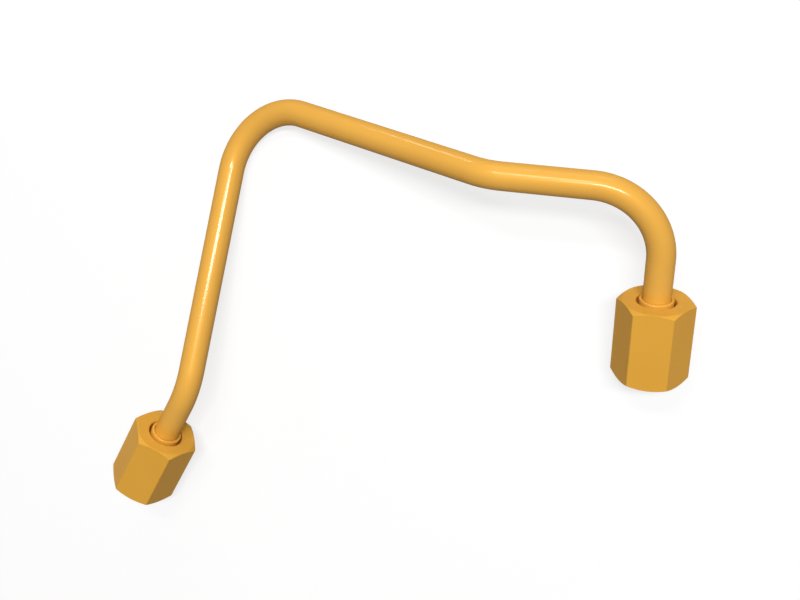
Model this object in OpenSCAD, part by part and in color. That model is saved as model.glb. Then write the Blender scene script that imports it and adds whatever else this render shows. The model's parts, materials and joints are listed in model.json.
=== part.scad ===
// High-pressure line: one thick-walled steel tube with four bends in four planes. At each end the tube
// is upset into a collar and a cone-shaped nose. A sleeve sits behind the collar, and a union nut draws
// the sleeve, and the nose with it, into the seat of a threaded port. The line lies on a flat surface,
// on the mouths of its two nuts and on the back of its second bend.

/* [Tube] */
// Outside diameter of the tube
tube_od = 7.94; // [6:0.01:12]
// Wall of the tube
tube_wall = 2.4; // [1.2:0.1:3]
// Radius of every bend, at the tube's centreline
bend_radius = 20; // [14:0.5:40]
// How much the tube is drawn down in diameter where it is bent
bend_draw = 0.04; // [0.03:0.01:0.2]

/* [Straights] */
// Straight from the tip of the left nose to the first bend
straight_1 = 25.9; // [24:0.1:80]
// Straight between the first and second bends
straight_2 = 63.9; // [20:0.1:160]
// Straight between the second and third bends
straight_3 = 64.2; // [20:0.1:160]
// Straight between the third and fourth bends
straight_4 = 24.3; // [5:0.1:100]
// Straight from the fourth bend to the tip of the right nose
straight_5 = 25.2; // [24:0.1:80]

/* [Bends] */
// Angle of the first bend
bend_1 = 36.9; // [20:0.1:70]
// Angle of the second bend
bend_2 = 100.6; // [80:0.1:120]
// Angle of the third bend
bend_3 = 25.5; // [10:0.1:50]
// Angle of the fourth bend
bend_4 = 88.8; // [70:0.1:110]
// Turn of the tube on its own axis before the second bend
turn_2 = -153.2; // [-170:0.1:-130]
// Turn of the tube on its own axis before the third bend
turn_3 = 123; // [100:0.1:150]
// Turn of the tube on its own axis before the fourth bend
turn_4 = -94.2; // [-120:0.1:-70]

/* [Tube ends] */
// Height of the upset collar over the tube, all round
collar_step = 1.2; // [0.8:0.1:2]
// Length of the upset collar, behind the nose
collar_length = 1.2; // [0.8:0.1:3]
// Full angle of the nose's cone
nose_angle = 60; // [50:1:90]
// Width of the flat rim round the bore at the nose's tip
tip_rim = 1.2; // [0.4:0.1:2]

/* [Sleeves] */
// Clearance between the tube and the sleeve's bore, all round
sleeve_play = 0.1; // [0.05:0.01:0.3]
// Wall of the sleeve's tail
tail_wall = 0.78; // [0.5:0.01:2]
// Chamfer at the end of the sleeve's tail
tail_chamfer = 0.2; // [0.1:0.05:0.4]
// How far the sleeve's tail stands out of the nut's end face
tail_stand = 0.65; // [0:0.05:2]
// Length of the sleeve's head
head_length = 2.6; // [1.5:0.1:5]
// Gap between faces that seat on each other
seat_gap = 0.05; // [0.02:0.01:0.2]

/* [Nuts] */
// Clearance between the sleeve's tail and the hole in the nut's end wall, all round
hole_play = 0.7; // [0.2:0.05:1]
// Chamfer at the edge of that hole
hole_chamfer = 0.3; // [0.1:0.05:0.6]
// Thickness of the nut's end wall
end_wall = 5; // [3:0.1:10]
// Width of the shoulder that bears on the sleeve's head
shoulder = 0.65; // [0.4:0.05:2]
// Clearance between the sleeve's head and the crests of the thread, all round
crest_play = 0.18; // [0.1:0.01:0.4]
// Pitch of the thread
thread_pitch = 1.411; // [0.75:0.001:2]
// Length of the threaded wall
thread_length = 10.5; // [6:0.1:20]
// Depth of the relief behind the thread, over the roots of the thread
relief_step = 0.2; // [0.1:0.05:0.6]
// Length of relief that is left between the tip of the nose and the thread
relief_spare = 0.3; // [0.2:0.1:3]
// Wall between the relief and the nut's flats
nut_wall = 2.18; // [1.2:0.01:5]
// Lip of the mouth's countersink over the roots of the thread
mouth_lip = 0.3; // [0.1:0.05:0.8]
// Width of the flat rim that each end chamfer leaves inside the nut's flats
chamfer_inset = 0.125; // [0.05:0.005:1]
// Angle of the end chamfers, from the nut's end faces
chamfer_angle = 30; // [15:1:45]
// Turn of the left nut on the tube
left_nut_turn = -1; // [-60:0.5:60]
// Turn of the right nut on the tube
right_nut_turn = -2; // [-60:0.5:60]

/* [Hidden] */
$fn = 96;
paint = "#e0a642";
nut_paint = "#d99f40";

// Depth of a 60 degree thread on both sides together, as a share of its pitch
thread_form = 5 / 8 * sqrt(3);

// Diameters, from the bore outwards
tube_bore = tube_od - 2 * tube_wall;
tip_d = tube_bore + 2 * tip_rim;
collar_d = tube_od + 2 * collar_step;
sleeve_bore = tube_od + 2 * sleeve_play;
tail_d = sleeve_bore + 2 * tail_wall;
hole_d = tail_d + 2 * hole_play;
head_d = hole_d + 2 * shoulder;
thread_minor = head_d + 2 * crest_play;
thread_major = thread_minor + thread_form * thread_pitch;
relief_d = thread_major + 2 * relief_step;
nut_flats = relief_d + 2 * nut_wall;
nut_corners = nut_flats / cos(30);
rim_d = nut_flats - 2 * chamfer_inset;
mouth_d = thread_major + 2 * mouth_lip;

// Heights at one end, measured up the tube from the tip of its nose
nose_length = (collar_d - tip_d) / 2 / tan(nose_angle / 2);
collar_back = nose_length + collar_length;
head_front = collar_back + seat_gap;
head_back = head_front + head_length;
shoulder_z = head_back + seat_gap;
nut_back = shoulder_z + end_wall;
tail_back = nut_back + tail_stand;
thread_back = -relief_spare;
nut_mouth = thread_back - thread_length;
nut_length = nut_back - nut_mouth;
mouth_depth = (mouth_d - thread_minor) / 2;

// How far a cutting shape runs past the face that it opens, and a bend into the straights beside it
overrun = 1;
lap_angle = 1;

// Steps round a rim and along a bend, and rounds of settling, when the rest of the line is worked out
rim_step = 2;
bend_step = 0.02;
settle_rounds = 12;

straights = [straight_1, straight_2, straight_3, straight_4, straight_5];
bends = [bend_1, bend_2, bend_3, bend_4];
turns = [0, turn_2, turn_3, turn_4];
last = len(straights) - 1;

// Steps along the tube: up its axis, round its axis, and round a bend towards +X
function lift(l) = [[1, 0, 0, 0], [0, 1, 0, 0], [0, 0, 1, l], [0, 0, 0, 1]];
function turn(a) = [[cos(a), -sin(a), 0, 0], [sin(a), cos(a), 0, 0], [0, 0, 1, 0], [0, 0, 0, 1]];
function bend(a) = [
    [cos(a), 0, sin(a), bend_radius * (1 - cos(a))],
    [0, 1, 0, 0],
    [-sin(a), 0, cos(a), bend_radius * sin(a)],
    [0, 0, 0, 1]
];
look_back = [[1, 0, 0, 0], [0, -1, 0, 0], [0, 0, -1, 0], [0, 0, 0, 1]];

// The frame at the start of a straight and of a bend, seen from the left tip
function straight_frame(i) = i == 0 ? lift(0) : bend_frame(i - 1) * bend(bends[i - 1]);
function bend_frame(i) = straight_frame(i) * lift(straights[i]) * turn(turns[i]);
left_end = straight_frame(0);
right_end = straight_frame(last) * lift(straights[last]) * look_back;

// Points on the rims of a nut's two ends, where the chamfers cut its flats
function at(frame, p) = let (q = frame * concat(p, 1)) [q.x, q.y, q.z];
function rim_radius(a) = nut_flats / 2 / cos(a % 60 - 30);
function rim_drop(a) = (rim_radius(a) - rim_d / 2) * tan(chamfer_angle);
function rim(frame, z, side) = [
    for (a = [0 : rim_step : 360 - rim_step])
        at(frame, [rim_radius(a) * cos(a), rim_radius(a) * sin(a), z + side * rim_drop(a)])
];
left_mouth_rim = rim(left_end * turn(left_nut_turn), nut_mouth, 1);
right_mouth_rim = rim(right_end * turn(right_nut_turn), nut_mouth, 1);
left_back_rim = rim(left_end * turn(left_nut_turn), nut_back, -1);
right_back_rim = rim(right_end * turn(right_nut_turn), nut_back, -1);
nut_rims = concat(left_mouth_rim, right_mouth_rim, left_back_rim, right_back_rim);

// Frames along the middle of each bend
function bend_steps(i) = [for (k = [0 : bend_step : 1]) bend_frame(i) * bend(k * bends[i])];
function middle(frame) = at(frame, [0, 0, 0]);
function heading(frame) = at(frame, [0, 0, 1]) - middle(frame);
back_line = [for (f = bend_steps(1)) middle(f)];
all_steps = [for (i = [0 : len(bends) - 1]) each bend_steps(i)];

// The direction that points up when the line rests on both nuts and on the back of its second bend
function unit(v) = v / norm(v);
function lowest(points, up) = let (h = [for (p = points) p * up]) points[search(min(h), h)[0]];
function facing(n, way) = n * way < 0 ? -n : n;
function settle(up, rounds) = rounds < 1 ? up : let (
    left = lowest(left_mouth_rim, up),
    right = lowest(right_mouth_rim, up),
    back = lowest(back_line, up) - up * tube_od / 2
) settle(facing(unit(cross(right - left, back - left)), up), rounds - 1);
first_up = facing(
    unit(cross(middle(right_end) - middle(left_end), middle(straight_frame(2)) - middle(left_end))),
    middle(straight_frame(3)) - middle(left_end)
);
up = settle(first_up, settle_rounds);
nut_to_nut = lowest(right_mouth_rim, up) - lowest(left_mouth_rim, up);
across = unit(nut_to_nut - up * (nut_to_nut * up));
ahead = cross(up, across);

// How far the line reaches along a direction, and the frame with its origin under the middle of its box
function tube_reach(f, axis) = tube_od / 2 * sqrt(1 - pow(heading(f) * axis, 2));
function reaches(axis, side) = concat(
    [for (p = nut_rims) p * axis],
    [for (f = all_steps) middle(f) * axis + side * tube_reach(f, axis)]
);
function low(axis) = min(reaches(axis, -1));
function centre(axis) = (low(axis) + max(reaches(axis, 1))) / 2;
lie = [
    concat(across, -centre(across)),
    concat(ahead, -centre(ahead)),
    concat(up, -low(up)),
    [0, 0, 0, 1]
];

// Moves what follows from the start of a bend to its end
module past_bend(angle) {
    translate([bend_radius, 0, 0]) rotate([0, angle, 0]) translate([-bend_radius, 0, 0]) children();
}

// One bend of a round bar, from the origin up +Z and over towards +X, lapped into the straights beside it
module bent_bar(angle, d) {
    past_bend(-lap_angle) translate([bend_radius, 0, 0]) rotate([90, 0, 180])
        rotate_extrude(angle = angle + 2 * lap_angle) translate([bend_radius, 0]) circle(d = d - bend_draw);
}

// A round bar along the tube from straight i on, cut back by trim at both tips
module bar_along(i, d, trim) {
    from = i == 0 ? trim : 0;
    to = straights[i] - (i == last ? trim : 0);
    translate([0, 0, from]) cylinder(h = to - from, d = d);
    if (i < last)
        translate([0, 0, straights[i]]) rotate(turns[i]) {
            bent_bar(bends[i], d);
            past_bend(bends[i]) bar_along(i + 1, d, trim);
        }
}

// The upset end: a cone-shaped nose and the collar that the sleeve pushes on
module upset_end() {
    rotate_extrude() polygon([
        [0, 0],
        [tip_d / 2, 0],
        [collar_d / 2, nose_length],
        [collar_d / 2, collar_back],
        [0, collar_back]
    ]);
}

// The sleeve: a thin tail that stands out of the nut, and a head between the nut's shoulder and the collar
module sleeve() {
    rotate_extrude() polygon([
        [sleeve_bore / 2, head_front],
        [head_d / 2, head_front],
        [head_d / 2, head_back],
        [tail_d / 2, head_back],
        [tail_d / 2, tail_back - tail_chamfer],
        [tail_d / 2 - tail_chamfer, tail_back],
        [sleeve_bore / 2, tail_back]
    ]);
}

// The round blank that chamfers the corners of the hexagon at both ends
module chamfered_blank() {
    blank_d = nut_corners + 2 * overrun;
    drop = (blank_d - rim_d) / 2 * tan(chamfer_angle);
    rotate_extrude() polygon([
        [0, nut_mouth],
        [rim_d / 2, nut_mouth],
        [blank_d / 2, nut_mouth + drop],
        [blank_d / 2, nut_back - drop],
        [rim_d / 2, nut_back],
        [0, nut_back]
    ]);
}

// What is bored out of the nut: the mouth, the thread at its crests, the relief and the hole in the end wall
module nut_bore() {
    rotate_extrude() polygon([
        [0, nut_mouth - overrun],
        [mouth_d / 2 + overrun, nut_mouth - overrun],
        [thread_minor / 2, nut_mouth + mouth_depth],
        [thread_minor / 2, thread_back],
        [relief_d / 2, thread_back],
        [relief_d / 2, shoulder_z],
        [hole_d / 2, shoulder_z],
        [hole_d / 2, nut_back - hole_chamfer],
        [hole_d / 2 + hole_chamfer + overrun, nut_back + overrun],
        [0, nut_back + overrun]
    ]);
}

module union_nut() {
    difference() {
        intersection() {
            translate([0, 0, nut_mouth]) cylinder(h = nut_length, d = nut_corners, $fn = 6);
            chamfered_blank();
        }
        nut_bore();
    }
}

module tube() {
    color(paint) multmatrix(lie) difference() {
        union() {
            bar_along(0, tube_od, nose_length);
            upset_end();
            multmatrix(right_end) upset_end();
        }
        bar_along(0, tube_bore, -overrun);
    }
}

module left_sleeve() {
    color(paint) multmatrix(lie * left_end) sleeve();
}

module right_sleeve() {
    color(paint) multmatrix(lie * right_end) sleeve();
}

module left_nut() {
    color(nut_paint) multmatrix(lie * left_end) rotate(left_nut_turn) union_nut();
}

module right_nut() {
    color(nut_paint) multmatrix(lie * right_end) rotate(right_nut_turn) union_nut();
}

tube();
left_sleeve();
right_sleeve();
left_nut();
right_nut();
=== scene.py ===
# %% [markdown]
# A painted high-pressure line, bent four times
#
# The object is one thick steel tube with a loose union nut and a thin sleeve at each end, all in one
# yellow-orange paint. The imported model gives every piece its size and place, so this lesson starts by
# loading it as a fixed frame. The pieces are then modelled again, finer, in the same places.

# %% The fixed frame
import json
import math

import bpy
from mathutils import Matrix, Vector


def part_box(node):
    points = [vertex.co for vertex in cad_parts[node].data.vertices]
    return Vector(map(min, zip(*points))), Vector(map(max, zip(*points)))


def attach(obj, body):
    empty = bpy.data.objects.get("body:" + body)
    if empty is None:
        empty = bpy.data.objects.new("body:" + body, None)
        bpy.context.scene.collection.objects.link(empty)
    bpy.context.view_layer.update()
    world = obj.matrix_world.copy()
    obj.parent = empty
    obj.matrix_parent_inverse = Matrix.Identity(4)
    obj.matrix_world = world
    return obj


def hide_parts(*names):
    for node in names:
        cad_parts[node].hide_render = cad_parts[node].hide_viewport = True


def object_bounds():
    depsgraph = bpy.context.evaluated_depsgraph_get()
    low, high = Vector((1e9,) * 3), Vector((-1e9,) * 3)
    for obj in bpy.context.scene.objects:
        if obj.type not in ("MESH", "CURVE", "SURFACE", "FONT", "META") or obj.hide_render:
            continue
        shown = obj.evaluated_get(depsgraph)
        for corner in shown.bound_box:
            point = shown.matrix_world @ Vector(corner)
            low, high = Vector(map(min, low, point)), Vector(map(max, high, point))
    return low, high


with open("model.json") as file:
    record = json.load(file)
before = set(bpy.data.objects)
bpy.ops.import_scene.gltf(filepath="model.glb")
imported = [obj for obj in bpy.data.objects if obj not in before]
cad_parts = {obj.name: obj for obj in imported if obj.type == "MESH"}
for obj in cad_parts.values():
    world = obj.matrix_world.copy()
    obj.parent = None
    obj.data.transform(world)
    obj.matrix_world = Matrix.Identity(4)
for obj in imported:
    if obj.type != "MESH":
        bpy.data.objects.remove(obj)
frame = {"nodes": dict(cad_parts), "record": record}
cad_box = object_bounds()
mm = 0.001
print("nodes:", ", ".join(sorted(frame["nodes"])))
print("box in mm:", [round(side / mm, 1) for side in cad_box[1] - cad_box[0]])

# %% [markdown]
# The camera
#
# The line is seen from above, a little from its right. A camera could be moved by eye until the outlines
# agree, but then every later change would hide small errors of shape. Here the place and the three turns
# were worked out once from the outlines of the straight runs, and the lens from how the nuts grow smaller
# with distance. Those outlines were counted in whole pixels, so the view is shifted by half a pixel.

# %% The camera
camera_place = Vector((124.13, 6.13, 328.35)) * mm
camera_turn = [math.radians(angle) for angle in (-8.454, 17.457, -16.656)]
nearest_view = 10 * mm
sensor = 36.0
image_width = 800
focal_pixels = 1119.6
half_pixel = 0.5 / image_width

bpy.ops.object.select_all(action="DESELECT")
bpy.ops.object.camera_add(location=camera_place, rotation=camera_turn)
camera = bpy.context.object
camera.name = "camera"
camera.data.sensor_width = sensor
camera.data.lens = sensor * focal_pixels / image_width
camera.data.shift_x = -half_pixel
camera.data.shift_y = half_pixel
camera.data.clip_start = nearest_view
bpy.context.scene.camera = camera
print("lens:", round(camera.data.lens, 2), "mm")

# %% [markdown]
# Shader sums as Python
#
# A finish is a sum of small patterns. Its nodes could be wired one by one, but a sum reads best as an
# expression. The class below wraps one socket. Adding, subtracting and multiplying wires adds Math nodes,
# and every other node comes from one method, which sets the node first and then feeds its sockets.

# %% The wire
class Wire:
    """One socket of a shader tree, or the bare tree to start from."""

    def __init__(self, tree, socket=None):
        self.tree = tree
        self.socket = socket

    def node(self, kind, settings=None, inputs=None, out=0):
        """Add a node, set it, feed its sockets, and return one of its outputs."""
        made = self.tree.nodes.new("ShaderNode" + kind)
        for name, value in (settings or {}).items():
            setattr(made, name, value)
        for name, value in (inputs or {}).items():
            if isinstance(value, Wire):
                self.tree.links.new(value.socket, made.inputs[name])
            else:
                made.inputs[name].default_value = value
        return Wire(self.tree, made.outputs[out] if made.outputs else None)

    def math(self, operation, first, second):
        """Add a Math node on two wires, or on a wire and a number."""
        return self.node("Math", {"operation": operation}, {0: first, 1: second})

    def __add__(self, other):
        return self.math("ADD", self, other)

    def __radd__(self, other):
        return self.math("ADD", other, self)

    def __sub__(self, other):
        return self.math("SUBTRACT", self, other)

    def __rsub__(self, other):
        return self.math("SUBTRACT", other, self)

    def __mul__(self, other):
        return self.math("MULTIPLY", self, other)

    def __rmul__(self, other):
        return self.math("MULTIPLY", other, self)


# %% Parts of a finish
def finish(name):
    """An empty material, and a wire to start its tree from."""
    material = bpy.data.materials.new(name)
    material.use_nodes = True
    material.node_tree.nodes.clear()
    return material, Wire(material.node_tree)


def noise(start, where, size, detail=2.0):
    """A soft pattern from 0 to 1 whose patches are about one size across, in metres."""
    inputs = {"Vector": where, "Scale": 1 / size, "Detail": detail, "Roughness": 0.5}
    return start.node("TexNoise", {"normalize": True}, inputs, out="Fac")


def blend(start, share, first, second):
    """A colour between two, by a share from 0 to 1."""
    return start.node("Mix", {"data_type": "RGBA"}, {0: share, 6: first, 7: second}, out=2)


def relief(start, depth, height):
    """The facing of a surface with dents, for a height from 0 to 1 and a depth in metres."""
    return start.node("Bump", inputs={"Strength": 1.0, "Distance": depth, "Height": height})


def close_with(start, inputs):
    """End a tree with one surface, made of these colours and values."""
    shader = start.node("BsdfPrincipled", inputs=inputs)
    start.node("OutputMaterial", inputs={"Surface": shader})


# %% [markdown]
# Gloss paint on the tube and the sleeves
#
# The line was sprayed after it was bent. Sprayed gloss shows three things up close: a faint orange peel of
# dimples one or two millimetres apart, a slow drift of the tone where the paint is thicker, and fine specks
# in the shine. The shine itself has two parts: a narrow white streak from the clear top of the paint, and a
# broad, warm glow from the colour below it. One glossy layer could give either, but not both. So a clear
# coat gives the streak, and a rough layer with a trace of metal gives the glow in the paint's own colour.
# The coat is thin but bends light strongly, which keeps the edges of the tube dark, and it is not mirror
# smooth, so the streak is soft at its sides and shows less grain. All patterns read Object coordinates,
# so they stay on the metal whatever the view.

# %% Gloss paint
paint_light = (0.84, 0.436, 0.065, 1)
paint_deep = (0.78, 0.393, 0.054, 1)
paint_patch = 28 * mm
peel_dimple = 1.6 * mm
peel_depth = 0.006 * mm
gloss_speck = 0.25 * mm


def gloss_paint():
    """Sprayed paint: colour below, and a thin clear coat on top."""
    material, start = finish("gloss_paint")
    where = start.node("TexCoord", out="Object")
    drift = noise(start, where, paint_patch)
    peel = noise(start, where, peel_dimple, 1.0)
    specks = noise(start, where, gloss_speck, 1.0)
    close_with(start, {
        "Base Color": blend(start, drift, paint_deep, paint_light),
        "Metallic": 0.09,
        "Roughness": 0.48 + 0.06 * specks + 0.05 * drift,
        "Specular IOR Level": 0.0,
        "Coat Weight": 0.063 + 0.013 * specks + 0.009 * drift,
        "Coat IOR": 3.0,
        "Coat Roughness": 0.15,
        "Normal": relief(start, peel_depth, peel + 0.12 * specks),
    })
    return material


gloss = gloss_paint()
print(gloss.name, "has", len(gloss.node_tree.nodes), "nodes")

# %% [markdown]
# Satin paint on the nuts
#
# The nuts have the same colour with less gloss. Under the paint, their flats are drawn bar, with faint lines
# along the nut, and their ends are turned, with faint rings. Such lines could be cut into the mesh, but they
# are finer than a mesh should be, so a bump draws them. Both patterns need the nut's own axis, so a Mapping
# node turns and centres the coordinates on each nut, and the paint is made once for each.

# %% Lines along the nut and rings on its ends
drawn_line = 0.35 * mm
drawn_stretch = 0.03
turned_ring = 0.4 * mm
end_from = 0.1
end_full = 0.3


def on_the_nut(start, place):
    """Where a point is and which way it faces, from the tube's tip and with the nut's axis as Z."""
    own = place.inverted()
    turn = own.to_euler()
    where = start.node("TexCoord", out="Object")
    facing = start.node("TexCoord", out="Normal")
    moved = {"Vector": where, "Location": own.translation, "Rotation": turn}
    turned = {"Vector": facing, "Rotation": turn}
    own_where = start.node("Mapping", {"vector_type": "POINT"}, moved)
    own_facing = start.node("Mapping", {"vector_type": "NORMAL"}, turned)
    return own_where, own_facing


def machining(start, where, facing):
    """Drawn lines on what faces sideways, and turned rings on what faces along the axis."""
    along = start.node("SeparateXYZ", inputs={"Vector": facing}, out="Z")
    limits = {"From Min": end_from, "From Max": end_full}
    end_share = start.node("MapRange", inputs={"Value": along * along, **limits})
    stretched = start.node("VectorMath", {"operation": "MULTIPLY"}, {0: where, 1: (1, 1, drawn_stretch)})
    drawn = noise(start, stretched, drawn_line, 1.0)
    flattened = start.node("VectorMath", {"operation": "MULTIPLY"}, {0: where, 1: (1, 1, 0)})
    radius = start.node("VectorMath", {"operation": "LENGTH"}, {0: flattened}, out="Value")
    ripple = {"W": radius, "Scale": 1 / turned_ring}
    rings = start.node("TexNoise", {"noise_dimensions": "1D"}, ripple, out="Fac")
    return drawn * (1 - end_share) + rings * end_share


# %% Satin paint
nut_light = (0.82, 0.420, 0.057, 1)
nut_deep = (0.77, 0.383, 0.048, 1)
nut_patch = 14 * mm
satin_speck = 0.3 * mm
satin_depth = 0.012 * mm


def satin_paint(name, place):
    """Thinner paint on one nut, which lets the marks of its making show."""
    material, start = finish(name)
    where, facing = on_the_nut(start, place)
    lines = machining(start, where, facing)
    drift = noise(start, where, nut_patch)
    specks = noise(start, where, satin_speck, 1.0)
    close_with(start, {
        "Base Color": blend(start, drift, nut_deep, nut_light),
        "Roughness": 0.45 + 0.08 * specks + 0.06 * lines,
        "Specular IOR Level": 0.10,
        "Normal": relief(start, satin_depth, 0.5 * lines + 0.35 * specks),
    })
    print(name, "has", len(material.node_tree.nodes), "nodes")
    return material


# %% [markdown]
# Bare steel inside
#
# No paint goes where the line seals or screws: the cone, the collar, the thread and the inside of the nut
# stay bare, dull grey steel with a film of oil. One plain grey metal could do, but it would look new and
# polished. So a noise stains the colour a little, and a finer one breaks up the gloss.

# %% Bare steel
steel_light = (0.52, 0.50, 0.47, 1)
steel_dark = (0.30, 0.285, 0.265, 1)
oil_stain = 4 * mm
steel_grain = 0.15 * mm
grain_depth = 0.01 * mm


def bare_steel():
    """Turned steel with a stained film of oil."""
    material, start = finish("bare_steel")
    where = start.node("TexCoord", out="Object")
    stain = noise(start, where, oil_stain, 3.0)
    grain = noise(start, where, steel_grain, 2.0)
    close_with(start, {
        "Base Color": blend(start, stain, steel_dark, steel_light),
        "Metallic": 1.0,
        "Roughness": 0.28 + 0.2 * stain + 0.08 * grain,
        "Normal": relief(start, grain_depth, grain),
    })
    return material


steel = bare_steel()
print(steel.name, "has", len(steel.node_tree.nodes), "nodes")

# %% [markdown]
# A ring of edges that is led along a path
#
# Tubes, sleeves and bores are all round, so they are all drawn with one tool: a circle whose ring of edges
# is extruded, scaled and spun, step by step, the way a lathe or a tube bender works. A curve with a bevel
# could also make the tube, but it would not give the collar and the cone at its ends. The ring keeps a
# hand, a matrix with the ring's middle as its origin and the ring's axis as its Z.

# %% The ring
bend_radius = 20 * mm
bend_step = math.radians(1.5)
round_sides = 96
same_point = 0.0001 * mm


def call(piece, name):
    """Name a piece and its mesh alike."""
    piece.name = name
    piece.data.name = name


class Ring:
    """A selected ring of edges in edit mode, and the mesh that it leaves behind."""

    def __init__(self, name, radius, height=0.0):
        bpy.ops.object.select_all(action="DESELECT")
        bpy.ops.mesh.primitive_circle_add(vertices=round_sides, radius=radius, location=(0, 0, height))
        bpy.ops.object.transform_apply()
        self.piece = bpy.context.object
        self.radius = radius
        self.hand = Matrix.Translation((0, 0, height))
        call(self.piece, name)
        bpy.ops.object.mode_set(mode="EDIT")
        bpy.ops.mesh.select_mode(type="EDGE")

    def step(self, radius, length):
        """Extrude the ring along its axis, and scale it to a new radius."""
        move = self.hand.col[2].xyz * length
        bpy.ops.mesh.extrude_edges_move(TRANSFORM_OT_translate={"value": move})
        self.hand = self.hand @ Matrix.Translation((0, 0, length))
        share = radius / self.radius
        bpy.ops.transform.resize(value=(share, share, share), center_override=self.hand.translation)
        self.radius = radius

    def turn(self, angle):
        """Turn the hand on its own axis, so that the next bend goes another way."""
        self.hand = self.hand @ Matrix.Rotation(angle, 4, "Z")

    def bend(self, angle):
        """Spin the ring round a die that stands to its +X side."""
        die = Matrix.Translation((bend_radius, 0, 0))
        bpy.ops.mesh.spin(
            steps=math.ceil(angle / bend_step),
            angle=-angle,
            center=self.hand @ die.translation,
            axis=self.hand.col[1].xyz,
        )
        self.hand = self.hand @ die @ Matrix.Rotation(angle, 4, "Y") @ die.inverted()

    def done(self):
        """Merge doubles, point the faces outwards and go back to object mode."""
        bpy.ops.mesh.select_all(action="SELECT")
        bpy.ops.mesh.remove_doubles(threshold=same_point)
        bpy.ops.mesh.normals_make_consistent(inside=False)
        bpy.ops.object.mode_set(mode="OBJECT")
        return self.piece


# %% [markdown]
# The tube
#
# A bender feeds a straight, turns the tube on its own axis and bends it round a die, four times over. The
# same list of straights, turns and bends leads the ring here. Both ends are upset into a collar and a cone:
# there the ring is only stepped and scaled. A Solidify modifier could give the wall, but it would carry the
# collars and cones into the bore. So the bore is a second, smaller ring that is led the same way, and the
# outer skin starts and ends on the rings where the bore does.

# %% Sizes of the tube
tube_radius = 7.94 / 2 * mm
bore_radius = 3.14 / 2 * mm
tip_radius = 5.54 / 2 * mm
collar_radius = 10.34 / 2 * mm
nose_length = 4.157 * mm
collar_back = 5.357 * mm
paint_edge = 12 * mm
straights = [length * mm for length in (25.9, 63.9, 64.2, 24.3, 25.2)]
bends = [math.radians(angle) for angle in (36.9, 100.6, 25.5, 88.8)]
turns = [math.radians(angle) for angle in (0, -153.2, 123, -94.2)]
print("length along the middle:", round((sum(straights) + bend_radius * sum(bends)) / mm, 1), "mm")


def lead(ring, radius, trim):
    """Lead a ring through all straights and bends, cut back by trim at both tips."""
    lengths = list(straights)
    lengths[0] -= trim
    lengths[-1] -= trim
    for length, turn, bend in zip(lengths, turns, bends):
        ring.step(radius, length)
        ring.turn(turn)
        ring.bend(bend)
    ring.step(radius, lengths[-1])


# %% The outer skin and the bore
skin = Ring("tube_skin", bore_radius)
skin.step(tip_radius, 0)
skin.step(collar_radius, nose_length)
skin.step(collar_radius, collar_back - nose_length)
skin.step(tube_radius, 0)
skin.step(tube_radius, paint_edge - collar_back)
lead(skin, tube_radius, paint_edge)
skin.step(tube_radius, paint_edge - collar_back)
skin.step(collar_radius, 0)
skin.step(collar_radius, collar_back - nose_length)
skin.step(tip_radius, nose_length)
skin.step(bore_radius, 0)
right_tip = skin.hand.copy()
outside = skin.done()
outside.data.materials.append(gloss)

bore = Ring("tube_bore", bore_radius)
lead(bore, bore_radius, 0)
inside = bore.done()
inside.data.materials.append(steel)
print("right tip, from the left one, in mm:", [round(x / mm, 3) for x in right_tip.translation])
print("the two rings end apart by", round((right_tip.translation - bore.hand.translation).length / mm, 6))

# %% [markdown]
# Tools for finishing a piece
#
# Every piece is finished in the same few ways: modifiers are applied, points that fall together are merged,
# sharp edges are rounded a little so that they catch the light, and the faces that stay bare get a second
# material. This could be done by hand for each piece. As small functions it is done alike on all of them,
# and faces and edges are picked in code, by their place and direction.

# %% Selecting and modifying
def only(piece):
    """Make a piece the only selected one, and the active one."""
    bpy.ops.object.select_all(action="DESELECT")
    piece.select_set(True)
    bpy.context.view_layer.objects.active = piece


def modify(piece, kind, **settings):
    """Add a modifier to a piece, set it, and apply it."""
    only(piece)
    bpy.ops.object.modifier_add(type=kind)
    modifier = piece.modifiers[-1]
    for name, value in settings.items():
        setattr(modifier, name, value)
    bpy.ops.object.modifier_apply(modifier=modifier.name)


def count(piece):
    """A piece's name and size in triangles, to print."""
    piece.data.calc_loop_triangles()
    return f"{piece.name}: {len(piece.data.loop_triangles)} triangles"


# %% Merging and rounding
fine = 0.002 * mm
edge_round = 0.08 * mm
round_over = math.radians(25)
smooth_under = math.radians(32)


def merge(piece):
    """Merge points that fall together, drop faces with no area, and point the faces outwards."""
    only(piece)
    bpy.ops.object.mode_set(mode="EDIT")
    bpy.ops.mesh.select_all(action="SELECT")
    bpy.ops.mesh.remove_doubles(threshold=fine)
    bpy.ops.mesh.dissolve_degenerate(threshold=fine)
    bpy.ops.mesh.normals_make_consistent(inside=False)
    bpy.ops.object.mode_set(mode="OBJECT")


def smooth(piece):
    """Shade a piece smooth between its sharp edges, and keep its flat faces flat in the light."""
    only(piece)
    bpy.ops.object.shade_smooth_by_angle(angle=smooth_under)
    modify(piece, "WEIGHTED_NORMAL", keep_sharp=True, weight=100)


def soften(piece):
    """Round the sharp edges of a piece a little, and shade it."""
    modify(piece, "BEVEL", width=edge_round, segments=2, angle_limit=round_over)
    smooth(piece)


# %% Painted outside, bare inside
def pick(piece, part, wanted):
    """In edit mode, select the faces or edges for which wanted(middle, direction) is true."""
    bpy.ops.mesh.select_mode(type=part)
    bpy.ops.mesh.select_all(action="DESELECT")
    bpy.ops.object.mode_set(mode="OBJECT")
    mesh = piece.data
    if part == "FACE":
        for face in mesh.polygons:
            face.select = wanted(face.center, face.normal)
    else:
        for edge in mesh.edges:
            first, second = (mesh.vertices[index].co for index in edge.vertices)
            edge.select = wanted((first + second) / 2, (second - first).normalized())
    bpy.ops.object.mode_set(mode="EDIT")


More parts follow.
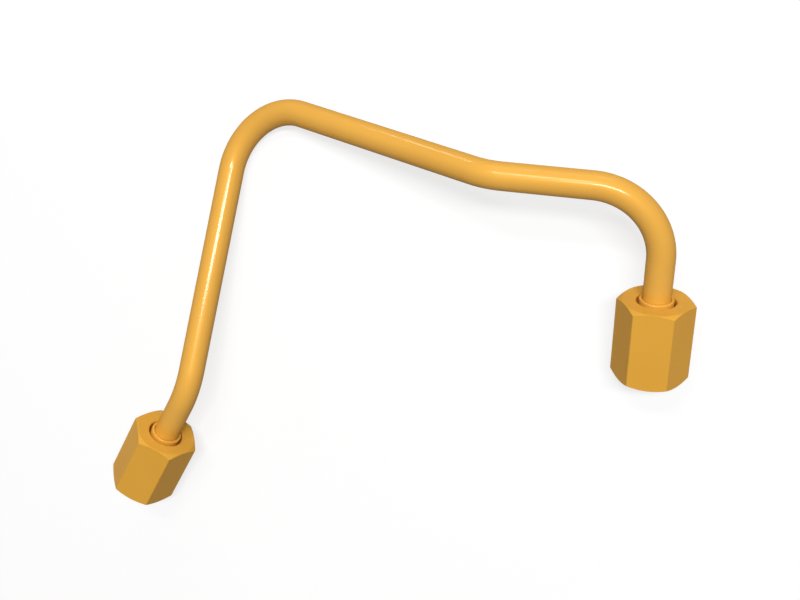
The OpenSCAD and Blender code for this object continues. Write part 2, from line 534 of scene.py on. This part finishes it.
def leave_bare(piece, is_bare):
    """Give a piece's second material to the faces whose middles is_bare picks."""
    only(piece)
    bpy.ops.object.mode_set(mode="EDIT")
    pick(piece, "FACE", lambda middle, facing: is_bare(middle))
    piece.active_material_index = 1
    bpy.ops.object.material_slot_assign()
    bpy.ops.object.mode_set(mode="OBJECT")
    bare = sum(face.material_index for face in piece.data.polygons)
    print(piece.name, "has", bare, "bare faces of", len(piece.data.polygons))


# %% [markdown]
# Closing the tube
#
# The two skins are joined into one object. They end in the same rings, at the inner edge of the flat rim
# round the bore, so merging those rings closes the tube into one body with a real wall. Bridging an outer
# ring to an inner one would do too, but on two rings with the same middle it can pick a half turn and cross
# itself. The paint stops under the sleeves, so both ends are left bare.

# %% One closed tube
def near_a_tip(point):
    """Whether a point is at one of the ends that stay bare."""
    return min(point.length, (point - right_tip.translation).length) < paint_edge


only(outside)
inside.select_set(True)
bpy.ops.object.join()
tube = bpy.context.object
call(tube, "bent_tube")
merge(tube)
soften(tube)
leave_bare(tube, near_a_tip)
print(count(tube))

# %% [markdown]
# Laying the tube down
#
# So far the tube starts at the world's origin and points up. It could be moved by eye until it fits, but its
# two tips are known in the frame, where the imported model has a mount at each. Two directions then fix how it
# lies: the axis of the left end, and the way from one tip to the other. Sleeves and nuts will be made at the
# origin too, and laid down at one end or the other.

# %% Where the two ends lie
def square(along, beside):
    """A turn with its Z along one direction, and its X towards another."""
    z = along.normalized()
    y = z.cross(beside).normalized()
    return Matrix((y.cross(z), y, z)).transposed().to_4x4()


mounts = {mount["name"]: mount for mount in frame["record"]["mounts"]}
left_mount, right_mount = (mounts[name] for name in ("left_nose", "right_nose"))
left_place, right_place = (Vector(mount["pos_m"]) for mount in (left_mount, right_mount))
as_bent = square(Vector((0, 0, 1)), right_tip.translation)
as_laid = square(-Vector(left_mount["axis"]), right_place - left_place)
left_end = Matrix.Translation(left_place) @ as_laid @ as_bent.inverted()
right_end = left_end @ right_tip @ Matrix.Rotation(math.pi, 4, "X")
print("right tip off its mount by", round((right_end.translation - right_place).length / mm, 4), "mm")


# %% Laying it down
def lay(piece, place):
    """Put a piece in its place, and keep the place in the mesh."""
    piece.matrix_world = place
    only(piece)
    bpy.ops.object.transform_apply()


def off_the_frame(piece, node):
    """How far a piece's box lies from its node's box, in mm."""
    corners = [[getattr(v.co, axis) for v in piece.data.vertices] for axis in "xyz"]
    low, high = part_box(node)
    gaps = [min(c) - x for c, x in zip(corners, low)] + [max(c) - x for c, x in zip(corners, high)]
    return f"{piece.name} is within {max(abs(gap) for gap in gaps) / mm:.3f} mm of {node}"


lay(tube, left_end)
print(off_the_frame(tube, "tube"))

# %% [markdown]
# The sleeves
#
# A sleeve is a thin turned collar. Its head sits behind the tube's collar, out of sight, and its painted
# tail stands out of the hole of the nut, where it shows as a ring round the tube. Head and bore are bare. It
# could be cut from a cylinder by booleans, but it is turned like the real one: the ring starts at the bore,
# walks round the section and is bridged back to its start. It is made once, and the second sleeve is a copy
# with a mesh of its own.

# %% Sizes of a sleeve
sleeve_bore = 8.14 / 2 * mm
head_radius = 12.4 / 2 * mm
tail_radius = 9.7 / 2 * mm
tail_chamfer = 0.2 * mm
head_front = 5.407 * mm
head_back = 8.007 * mm
nut_back = 13.057 * mm
tail_back = 13.707 * mm
print("each tail stands", round((tail_back - nut_back) / mm, 2), "mm out of its nut")


# %% The sleeves
def within(point, radius):
    """Whether a point is inside a radius round Z, or on it to a thousandth."""
    return point.xy.length < radius * 1.001


def head_or_bore(point):
    """Whether a point of a sleeve stays bare."""
    return point.z < head_back - edge_round or point.xy.length < sleeve_bore + edge_round / 2


def twin(piece, name):
    """A copy of a piece with a mesh of its own."""
    only(piece)
    bpy.ops.object.duplicate(linked=False)
    call(bpy.context.object, name)
    return bpy.context.object


turned = Ring("left_sleeve_ring", sleeve_bore, head_front)
turned.step(head_radius, 0)
turned.step(head_radius, head_back - head_front)
turned.step(tail_radius, 0)
turned.step(tail_radius, tail_back - tail_chamfer - head_back)
turned.step(tail_radius - tail_chamfer, tail_chamfer)
turned.step(sleeve_bore, 0)
pick(turned.piece, "EDGE", lambda middle, way: within(middle, sleeve_bore) and abs(way.z) < 0.5)
bpy.ops.mesh.bridge_edge_loops()
left_sleeve = turned.done()
soften(left_sleeve)
left_sleeve.data.materials.append(gloss)
left_sleeve.data.materials.append(steel)
leave_bare(left_sleeve, head_or_bore)
right_sleeve = twin(left_sleeve, "right_sleeve_ring")
print(count(left_sleeve))

# %% [markdown]
# The nuts
#
# A union nut is cut from hexagon bar: chamfered on a lathe at both ends, bored, and threaded. The same
# steps work here. The bar is a six-sided cylinder with softened long edges, the lathe work is a turned
# blank that the bar is intersected with, and the bore is a turned tool that is cut away. The nut could be
# drawn face by face, but the curved edges where a chamfer cone meets the flats are hard to draw directly.

# %% The hexagon bar
nut_flats = 19.047 * mm
nut_mouth = -10.8 * mm
nut_length = nut_back - nut_mouth
long_edge = 0.25 * mm
half_flat = math.radians(30)

bpy.ops.object.select_all(action="DESELECT")
bpy.ops.mesh.primitive_cylinder_add(
    vertices=6,
    radius=nut_flats / 2 / math.cos(half_flat),
    depth=nut_length,
    location=(0, 0, (nut_back + nut_mouth) / 2),
    rotation=(0, 0, half_flat),
)
bpy.ops.object.transform_apply()
nut = bpy.context.object
call(nut, "left_hexagon_nut")
bpy.ops.object.mode_set(mode="EDIT")
pick(nut, "EDGE", lambda middle, way: abs(way.z) > 0.9)
bpy.ops.mesh.bevel(offset=long_edge, segments=4, affect="EDGES")
bpy.ops.object.mode_set(mode="OBJECT")
print(count(nut))

# %% The turned blank
rim_radius = 18.797 / 2 * mm
blank_radius = 12 * mm
chamfer_slope = math.tan(math.radians(30))
chamfer_drop = (blank_radius - rim_radius) * chamfer_slope
rim_round = 0.15 * mm


def fill_ends():
    """In edit mode, close every open end of a mesh with a face."""
    bpy.ops.mesh.select_all(action="SELECT")
    bpy.ops.mesh.fill_holes(sides=0)


def cut(piece, tool, operation):
    """Cut a piece with a tool, which is then thrown away."""
    modify(piece, "BOOLEAN", object=tool, operation=operation, solver="EXACT")
    bpy.data.objects.remove(tool)


blank = Ring("blank", rim_radius, nut_mouth)
blank.step(blank_radius, chamfer_drop)
blank.step(blank_radius, nut_length - 2 * chamfer_drop)
blank.step(rim_radius, chamfer_drop)
fill_ends()
pick(blank.piece, "EDGE", lambda middle, way: within(middle, rim_radius))
bpy.ops.mesh.bevel(offset=rim_round, segments=3, affect="EDGES")
cut(nut, blank.done(), "INTERSECT")
print(count(nut))

# %% The bore
overrun = 1 * mm
shoulder = 8.057 * mm
thread_back = -0.3 * mm
thread_crest = 12.76 / 2 * mm
thread_root = 14.287 / 2 * mm
relief_radius = 14.687 / 2 * mm
mouth_radius = 14.887 / 2 * mm
hole_radius = 11.1 / 2 * mm
hole_chamfer = 0.3 * mm

tool = Ring("bore_tool", mouth_radius + overrun, nut_mouth - overrun)
tool.step(thread_crest, mouth_radius + overrun - thread_crest)
tool.step(thread_crest, thread_back - tool.hand.translation.z)
tool.step(relief_radius, 0)
tool.step(relief_radius, shoulder - thread_back)
tool.step(hole_radius, 0)
tool.step(hole_radius, nut_back - hole_chamfer - shoulder)
tool.step(hole_radius + hole_chamfer + overrun, hole_chamfer + overrun)
fill_ends()
cut(nut, tool.done(), "DIFFERENCE")
print(count(nut))

# %% [markdown]
# The thread
#
# The nuts are threaded inside, from the mouth to a relief. A bump could hint at it, but a thread has a depth
# that shows when the mouth is seen, so it is cut as on a lathe: a pointed tool runs along a helix, one pitch
# for each turn. The tool is a plane that is set upright at the wall of the bore and narrowed to the width of
# the thread's root. A Screw modifier sweeps its outline, the two open ends are filled, and the nut is cut
# with the swept shape. It runs out into the relief behind the thread and into the open at the mouth.

# %% The pointed tool
pitch = 1.411 * mm
inset = 0.2 * mm
thread_slope = math.tan(math.radians(30))
root_width = pitch / 8
tool_depth = thread_root - thread_crest + inset
tool_width = root_width + 2 * tool_depth * thread_slope
thread_start = nut_mouth - pitch

bpy.ops.object.select_all(action="DESELECT")
bpy.ops.mesh.primitive_plane_add(size=1, rotation=(math.radians(90), 0, 0))
cutter = bpy.context.object
cutter.name = "thread_tool"
cutter.scale = (tool_depth, tool_width, 1)
cutter.location = (thread_root - tool_depth / 2, 0, thread_start)
bpy.ops.object.transform_apply()
bpy.ops.object.mode_set(mode="EDIT")
pick(cutter, "EDGE", lambda middle, way: middle.x > thread_root - tool_depth / 4)
share = root_width / tool_width
bpy.ops.transform.resize(value=(1, 1, share), center_override=(thread_root, 0, thread_start))
bpy.ops.mesh.select_all(action="SELECT")
bpy.ops.mesh.delete(type="ONLY_FACE")
bpy.ops.object.mode_set(mode="OBJECT")
print("the tool is", round(tool_width / mm, 3), "mm wide and", round(tool_depth / mm, 3), "mm deep")

# %% The cut thread
thread_turns = math.ceil((thread_back - thread_start) / pitch + 1)
turn_steps = 72

modify(
    cutter,
    "SCREW",
    screw_offset=pitch,
    iterations=thread_turns,
    steps=turn_steps,
    render_steps=turn_steps,
)
bpy.ops.object.mode_set(mode="EDIT")
fill_ends()
bpy.ops.mesh.normals_make_consistent(inside=False)
bpy.ops.object.mode_set(mode="OBJECT")
print(count(cutter), "in", thread_turns, "turns")
cut(nut, cutter, "DIFFERENCE")
merge(nut)
smooth(nut)

# %% Bare inside, and the second nut
in_the_bore = 0.02 * mm


def inside_the_nut(point):
    """Whether a point of a nut stays bare: from its mouth to the shoulder."""
    deep = nut_mouth + in_the_bore < point.z < shoulder + in_the_bore
    return deep and point.xy.length < mouth_radius


nut.data.materials.append(None)
nut.data.materials.append(steel)
leave_bare(nut, inside_the_nut)
right_nut = twin(nut, "right_hexagon_nut")
print(count(nut))

# %% [markdown]
# Every piece in its place
#
# On the line, each nut sits over its sleeve at one end of the tube, turned on its axis as it was left. The
# pieces could be parented to the tube, but then their places would be in the objects. They are laid down
# with their places in their meshes, so patterns and motions start from the same origin. Each piece then
# rides on its body and stands for its node of the imported model, whose own mesh is hidden.

# %% Every piece in its place
left_nut_turn = math.radians(-1)
right_nut_turn = math.radians(-2)
left_nut_place = left_end @ Matrix.Rotation(left_nut_turn, 4, "Z")
right_nut_place = right_end @ Matrix.Rotation(right_nut_turn, 4, "Z")
lay(left_sleeve, left_end)
lay(right_sleeve, right_end)
lay(nut, left_nut_place)
lay(right_nut, right_nut_place)
nut.data.materials[0] = satin_paint("satin_paint_left", left_nut_place)
right_nut.data.materials[0] = satin_paint("satin_paint_right", right_nut_place)
stands_for = {
    "tube": (tube, "line", "line_paint"),
    "left_sleeve": (left_sleeve, "left_sleeve", "sleeve_paint"),
    "right_sleeve": (right_sleeve, "right_sleeve", "sleeve_paint"),
    "left_nut": (nut, "left_nut", "nut_paint"),
    "right_nut": (right_nut, "right_nut", "nut_paint"),
}
for node, (piece, body, slot) in stands_for.items():
    print(off_the_frame(piece, node))
    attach(piece, body)
    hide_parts(node)

# %% [markdown]
# The floor
#
# The line lies on a plain white floor. White all over could come from strong lamps, but they would bleach
# the paint. So what the camera, a reflection or a clear surface sees of the floor glows by itself, nearly
# up to white, and the lamps add the rest, less where the line keeps them off: that leaves a soft shadow.
# Light that bounces sees only a plain grey floor. Far out, where the lamps fade, the glow takes over.

# %% The floor's finish
white = (1, 1, 1, 1)
floor_grey = (0.25, 0.25, 0.25, 1)
floor_glow = 0.76
shadow_reach = (0.25, 0.6)


def seen(start):
    """1 for what the camera, a reflection or a clear surface sees, and 0 for light that bounces."""
    kinds = ("Is Camera Ray", "Is Glossy Ray", "Is Transmission Ray")
    by_camera, by_gloss, by_glass = (start.node("LightPath", out=kind) for kind in kinds)
    return by_camera + by_gloss + by_glass


def white_floor():
    """Plain grey in the light that bounces, white to the eye, and darker in the shadow."""
    material, start = finish("white_floor")
    where = start.node("TexCoord", out="Object")
    distance = start.node("VectorMath", {"operation": "LENGTH"}, {0: where}, out="Value")
    reach = {"From Min": shadow_reach[0], "From Max": shadow_reach[1]}
    far = start.node("MapRange", {"interpolation_type": "SMOOTHSTEP"}, {"Value": distance, **reach})
    plain = start.node("BsdfDiffuse", inputs={"Color": floor_grey})
    glow = start.node("Emission", inputs={"Color": white, "Strength": floor_glow})
    full = start.node("Emission", inputs={"Color": white, "Strength": 1.0})
    near = start.node("AddShader", inputs={0: plain, 1: glow})
    shown = start.node("MixShader", inputs={0: far, 1: near, 2: full})
    shader = start.node("MixShader", inputs={0: seen(start), 1: plain, 2: shown})
    start.node("OutputMaterial", inputs={"Surface": shader})
    return material


# %% The floor
floor_size = 20

bpy.ops.object.select_all(action="DESELECT")
bpy.ops.mesh.primitive_plane_add(size=floor_size)
floor = bpy.context.object
floor.name = "floor"
floor.data.materials.append(white_floor())
print("floor at height", round(cad_box[0].z / mm, 3), "mm")

# %% [markdown]
# Light
#
# The reflections tell where the lamps are. A wide, low window just above the camera draws the white streak on
# the long left run. Two short strips draw the fine lines on the runs at the top: one above the camera, to
# its left, and one low behind the line. A weak panel from behind lifts the upper sides. One large soft lamp
# could light the line as well, but on a round tube it shows as one broad haze. Each lamp is placed as the
# camera sees it: to the right, up, and back towards the camera.

# %% The lamps
def lamp(name, seen_at, long_way, distance, size, power):
    """A rectangular lamp that faces the line. Both directions are in the camera's own axes."""
    view = camera.matrix_world.to_3x3()
    middle = (cad_box[0] + cad_box[1]) / 2
    towards = view @ Vector(seen_at).normalized()
    place = Matrix.Translation(middle + towards * distance)
    bpy.ops.object.select_all(action="DESELECT")
    bpy.ops.object.light_add(type="AREA")
    made = bpy.context.object
    made.name = name
    made.data.shape = "RECTANGLE"
    made.data.size, made.data.size_y = size
    made.data.energy = power
    made.matrix_world = place @ square(towards, view @ Vector(long_way))
    print(name, "of", power, "W at", [round(x, 2) for x in made.matrix_world.translation], "m")


bpy.context.view_layer.update()
lamp(
    "window", seen_at=(0.009, 0.075, 1), long_way=(1, 0, 0),
    distance=1.4, size=(0.61, 0.150), power=15.3,
)
lamp(
    "near_strip", seen_at=(-0.24, 0.345, 0.907), long_way=(0.97, -0.12, 0.2),
    distance=1.0, size=(0.30, 0.07), power=2.0,
)
lamp(
    "far_strip", seen_at=(-0.357, 0.928, 0.11), long_way=(-0.1, 0.05, 1),
    distance=1.2, size=(0.18, 0.08), power=0.9,
)
lamp(
    "back_panel", seen_at=(0.1, 1.2, 0.6), long_way=(1, 0, 0),
    distance=1.2, size=(0.8, 0.5), power=1.6,
)

# %% [markdown]
# The room
#
# A pale room fills what the lamps leave dark. It could be built of white walls, but one even World colour
# does the same. Like the floor, it is white to the eye and in reflections, and dim for light that bounces.

# %% The room
room_level = 0.09

world = bpy.data.worlds.new("room")
world.use_nodes = True
world.node_tree.nodes.clear()
room = Wire(world.node_tree)
level = room_level + (1 - room_level) * seen(room)
backdrop = room.node("Background", inputs={"Color": white, "Strength": level})
room.node("OutputWorld", inputs={"Surface": backdrop})
bpy.context.scene.world = world
bpy.context.scene.view_settings.view_transform = "Standard"
print("the room lights the line at", room_level, "and shows as white")
